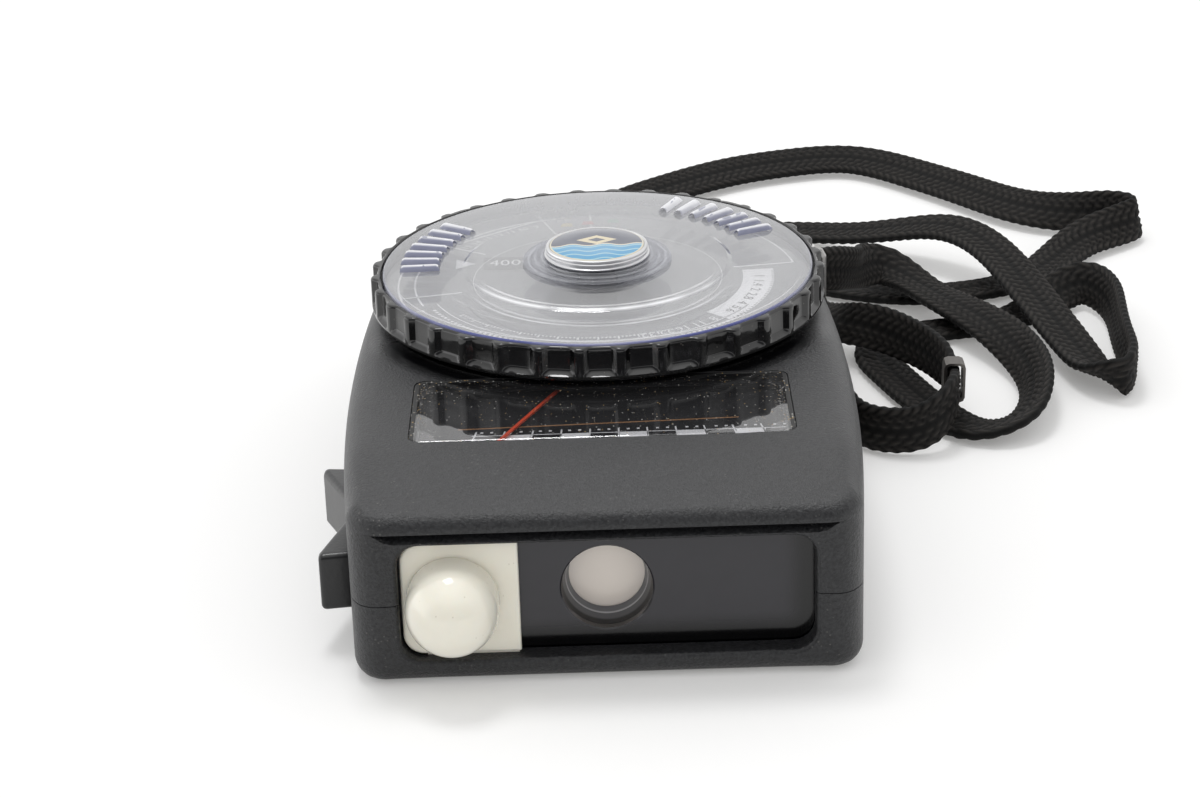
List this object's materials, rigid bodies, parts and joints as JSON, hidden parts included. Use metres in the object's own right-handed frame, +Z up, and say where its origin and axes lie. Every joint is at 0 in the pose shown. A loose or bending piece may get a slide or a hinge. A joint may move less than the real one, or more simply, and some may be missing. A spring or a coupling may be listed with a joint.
{
  "type": "light meter",
  "caption": "Hand-held exposure meter with a sliding light dome, needle window, knurled calculator dial, side rocker and neck strap.",
  "frame": {"origin": "centre of the case's flat underside, on the surface that it stands on", "axes": "+Z up through the dial, -Y out of the light window, +X to the right seen from the light window's side"},
  "size_m": [0.1405, 0.2141, 0.0362],
  "materials": {
    "case": "fine-grained moulded plastic",
    "gloss_black": "polished black plastic",
    "lens_black": "mirror-smooth black plastic",
    "ivory": "glossy ivory diffusing plastic",
    "clear": "clear moulded acrylic",
    "print_dark": "dark printed sheet",
    "aluminium": "turned and polished",
    "steel": "plain steel",
    "needle_red": "red paint",
    "cell_filter": "pale pinkish-grey filter",
    "cone_grey": "grey moulded cone",
    "emblem": "coloured enamel disc",
    "brass": "plain brass",
    "board": "green circuit board",
    "cell_wrap": "painted can, plain",
    "strap_braid": "flat woven black braid"
  },
  "bodies": {
    "case": {"top_shell": "case", "bottom_shell": "case", "lens_panel": "lens_black", "lens_cone": "cone_grey", "cell_filter": "cell_filter", "photocell": "steel", "meter_window": "clear", "scale_plate": "print_dark", "meter_movement": "steel", "dial_base": "gloss_black", "hub_base": "clear", "hub_cap": "aluminium", "hub_emblem": "emblem", "dial_post": "steel", "potentiometer": "brass", "rocker_pin": "steel", "switch_contact": "brass", "circuit_board": "board", "case_screw_1": "steel", "case_screw_2": "steel", "case_screw_3": "steel", "case_screw_4": "steel", "battery": "cell_wrap", "battery_snap": "print_dark", "strap_lug": "steel", "strap": "strap_braid", "strap_clip": "steel"},
    "diffuser": {"diffuser_plate": "ivory", "diffuser_dome": "ivory"},
    "needle": {"needle": "needle_red"},
    "dial": {"dial_ring": "gloss_black", "scale_disc": "print_dark"},
    "film_dial": {"film_disc": "clear"},
    "rocker": {"rocker": "case"},
    "zero_adjuster": {"zero_screw": "brass"},
    "cover": {"battery_cover": "case"}
  },
  "joints": [
    {"name": "diffuser_slide", "type": "slide", "parent": "case", "child": "diffuser", "axis": [1, 0, 0], "range_m": [0, 0.0204]},
    {"name": "needle_swing", "type": "hinge", "parent": "case", "child": "needle", "pos_m": [0, -0.007, 0.0248], "axis": [0, 0, 1], "range_deg": [0, 51]},
    {"name": "dial_turn", "type": "hinge", "parent": "case", "child": "dial", "pos_m": [0, 0.0096, 0.031], "axis": [0, 0, 1], "range_deg": [-150, 150]},
    {"name": "film_speed_turn", "type": "hinge", "parent": "dial", "child": "film_dial", "pos_m": [0, 0.0096, 0.032], "axis": [0, 0, 1], "range_deg": [-90, 90]},
    {"name": "rocker_hinge", "type": "hinge", "parent": "case", "child": "rocker", "pos_m": [-0.03223, -0.03375, 0.0096], "axis": [0, 0, 1], "range_deg": [-3, 3], "stiffness_Nm_per_rad": 0.02},
    {"name": "zero_turn", "type": "hinge", "parent": "case", "child": "zero_adjuster", "pos_m": [0, -0.007, 0.0015], "axis": [0, 0, 1], "range_deg": [-45, 45]},
    {"name": "cover_slide", "type": "slide", "parent": "case", "child": "cover", "axis": [0, 1, 0], "range_m": [0, 0.012]}
  ]
}
